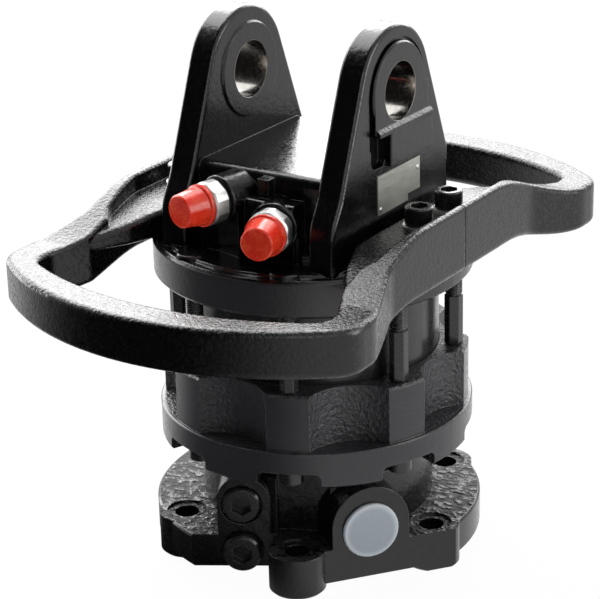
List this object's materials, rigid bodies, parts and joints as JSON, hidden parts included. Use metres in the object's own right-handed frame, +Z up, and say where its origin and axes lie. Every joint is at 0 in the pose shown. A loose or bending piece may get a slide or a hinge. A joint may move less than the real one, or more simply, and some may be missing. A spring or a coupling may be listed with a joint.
{
  "type": "hydraulic rotator",
  "caption": "Hydraulic rotator with clevis ears, two-piece hose guard, capped oil ports, scalloped motor housing and a flange that turns without limit.",
  "frame": {"origin": "on the rotation axis, in the plane under the flange's bolt pads", "axes": "+Z up along the rotation axis, X along the clevis pin, -Y toward the oil ports"},
  "size_m": [0.346, 0.554, 0.478],
  "materials": {
    "cast_black": "gloss black paint over rough casting",
    "guard_black": "gloss black paint over rough casting",
    "housing_black": "black paint over casting and turned rims",
    "stator_black": "smooth black paint on turned steel",
    "zinc": "bright zinc plating",
    "washer_dark": "dark bonded seal",
    "cap_orange": "soft orange-red plastic",
    "plug_pale": "milky plastic",
    "plate_metal": "brushed plate",
    "screw_black": "black oxide",
    "ground_steel": "ground steel",
    "bearing_steel": "hardened steel",
    "spring_steel": "spring steel",
    "bronze": "bearing bronze",
    "seal_rubber": "black rubber",
    "seal_plastic": "filled plastic"
  },
  "bodies": {
    "head_side": {"head_casting": "cast_black", "port_adapter_left": "zinc", "port_adapter_right": "zinc", "port_washer_left": "washer_dark", "port_washer_right": "washer_dark", "nameplate": "plate_metal", "nameplate_rivets": "plate_metal", "guard_front_half": "guard_black", "guard_rear_half": "guard_black", "guard_screws": "screw_black", "guard_washers": "zinc", "stator_ring": "stator_black", "lower_housing": "housing_black", "assembly_bolts": "screw_black", "stator_dowels": "ground_steel", "stator_seal_upper": "seal_rubber", "stator_seal_lower": "seal_rubber", "shaft_seal": "seal_rubber", "bearing_outer_race": "bearing_steel", "bearing_snap_ring": "spring_steel", "upper_bush": "bronze", "oil_spindle": "ground_steel", "spindle_rings": "seal_plastic"},
    "rotor_side": {"rotor_flange": "housing_black", "rotor_shaft": "ground_steel", "shaft_screws": "screw_black", "rotor_core": "ground_steel", "core_keys": "ground_steel", "vanes": "ground_steel", "vane_springs": "spring_steel", "bearing_inner_race": "bearing_steel", "bearing_rollers": "bearing_steel", "bearing_cage": "bronze", "bearing_nut": "ground_steel", "service_plugs": "screw_black", "plug_washers": "zinc"},
    "cap_left": {"port_cap_left": "cap_orange"},
    "cap_right": {"port_cap_right": "cap_orange"},
    "flange_plug": {"shipping_plug": "plug_pale"}
  },
  "joints": [
    {"name": "rotation", "type": "hinge", "parent": "head_side", "child": "rotor_side", "pos_m": [0, 0, 0.1], "axis": [0, 0, 1], "continuous": true},
    {"name": "cap_left_pull", "type": "slide", "parent": "head_side", "child": "cap_left", "axis": [-0.2588, -0.9659, 0], "range_m": [0, 0.05]},
    {"name": "cap_right_pull", "type": "slide", "parent": "head_side", "child": "cap_right", "axis": [0.2588, -0.9659, 0], "range_m": [0, 0.05]},
    {"name": "flange_plug_pull", "type": "slide", "parent": "rotor_side", "child": "flange_plug", "axis": [0.7826, -0.6225, 0], "range_m": [0, 0.04]}
  ]
}
